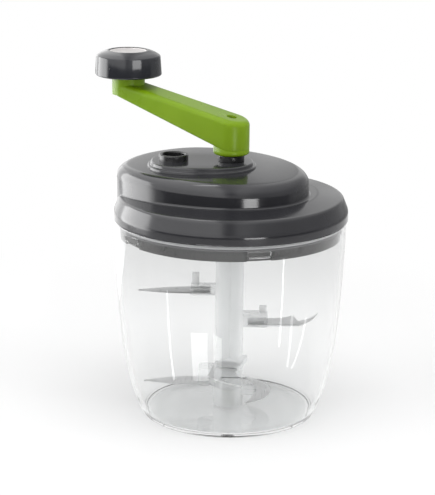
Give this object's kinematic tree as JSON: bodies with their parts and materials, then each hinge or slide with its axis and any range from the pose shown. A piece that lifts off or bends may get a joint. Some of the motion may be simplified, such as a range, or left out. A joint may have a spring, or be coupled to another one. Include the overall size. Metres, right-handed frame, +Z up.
{
  "type": "hand crank food chopper",
  "caption": "Clear flared bowl with a dark geared twist-on lid, a pour tube, a green crank arm with a spinning knob, and a shaft of staggered steel blades.",
  "frame": {"origin": "centre of the foot pad's lower face, on the bowl's axis, on the surface that the chopper stands on", "axes": "+Z up along the bowl's and the crank's axis; the front is -Y, +X is to the right seen from the front, and the crank arm points to the left and back"},
  "size_m": [0.166, 0.152, 0.2329],
  "materials": {
    "clear_plastic": "clear gloss",
    "clear_rubber": "translucent satin",
    "white_rubber": "satin",
    "grey_plastic": "gloss",
    "black_plastic": "gloss",
    "green_plastic": "gloss",
    "white_plastic": "matte",
    "clear_white_plastic": "frosted",
    "steel": "plain",
    "blade_steel": "brushed"
  },
  "bodies": {
    "bowl": {"bowl": "clear_plastic", "foot_pad": "clear_rubber", "pivot_pin": "steel"},
    "seal": {"lid_seal": "white_rubber"},
    "lid": {"lid_cover": "grey_plastic", "inner_lid": "grey_plastic", "lid_screws": "steel", "oval_plate": "grey_plastic", "oval_plate_screws": "steel", "pour_tube": "black_plastic", "crank_bush": "black_plastic", "spindle_bush": "white_plastic", "planet_pins": "steel"},
    "crank": {"crank_arm": "green_plastic", "crank_shaft": "white_plastic", "crank_screw": "steel", "ring_gear": "white_plastic", "knob_pin": "steel", "knob_washer": "steel", "knob_screw": "steel"},
    "knob": {"knob": "black_plastic", "knob_cap": "grey_plastic"},
    "planet_1": {"planet_gear_1": "white_plastic"},
    "planet_2": {"planet_gear_2": "white_plastic"},
    "planet_3": {"planet_gear_3": "white_plastic"},
    "spindle": {"drive_spindle": "white_plastic", "sun_gear": "white_plastic"},
    "blade": {"blade_shaft": "clear_white_plastic", "shaft_foot": "clear_white_plastic", "foot_bush": "white_plastic", "blade_upper": "blade_steel", "blade_middle": "blade_steel", "blade_front": "blade_steel", "blade_lower": "blade_steel", "blade_hook": "blade_steel"}
  },
  "joints": [
    {"name": "lid_lift", "type": "slide", "parent": "bowl", "child": "seal", "axis": [0, 0, 1], "range_m": [0, 0.18]},
    {"name": "lid_twist", "type": "hinge", "parent": "seal", "child": "lid", "pos_m": [0, 0, 0.1324], "axis": [0, 0, -1], "range_deg": [0, 17]},
    {"name": "crank_turn", "type": "hinge", "parent": "lid", "child": "crank", "pos_m": [0, 0, 0.1725], "axis": [0, 0, 1], "continuous": true},
    {"name": "knob_spin", "type": "hinge", "parent": "crank", "child": "knob", "pos_m": [-0.06807, 0.0393, 0.217], "axis": [0, 0, 1], "continuous": true},
    {"name": "planet_1_spin", "type": "hinge", "parent": "lid", "child": "planet_1", "pos_m": [0.0135, 0, 0.1361], "axis": [0, 0, 1], "continuous": true},
    {"name": "planet_2_spin", "type": "hinge", "parent": "lid", "child": "planet_2", "pos_m": [-0.00675, 0.01169, 0.1361], "axis": [0, 0, 1], "continuous": true},
    {"name": "planet_3_spin", "type": "hinge", "parent": "lid", "child": "planet_3", "pos_m": [-0.00675, -0.01169, 0.1361], "axis": [0, 0, 1], "continuous": true},
    {"name": "spindle_spin", "type": "hinge", "parent": "lid", "child": "spindle", "pos_m": [0, 0, 0.128], "axis": [0, 0, 1], "continuous": true},
    {"name": "blade_stay", "type": "slide", "parent": "spindle", "child": "blade", "axis": [0, 0, 1], "range_m": [-0.18, 0]}
  ],
  "couplings": [
    {"joint": "planet_1_spin", "follows": "crank_turn", "ratio": 2.8},
    {"joint": "planet_2_spin", "follows": "crank_turn", "ratio": 2.8},
    {"joint": "planet_3_spin", "follows": "crank_turn", "ratio": 2.8},
    {"joint": "spindle_spin", "follows": "crank_turn", "ratio": -3.5},
    {"joint": "blade_stay", "follows": "lid_lift", "ratio": -1}
  ]
}
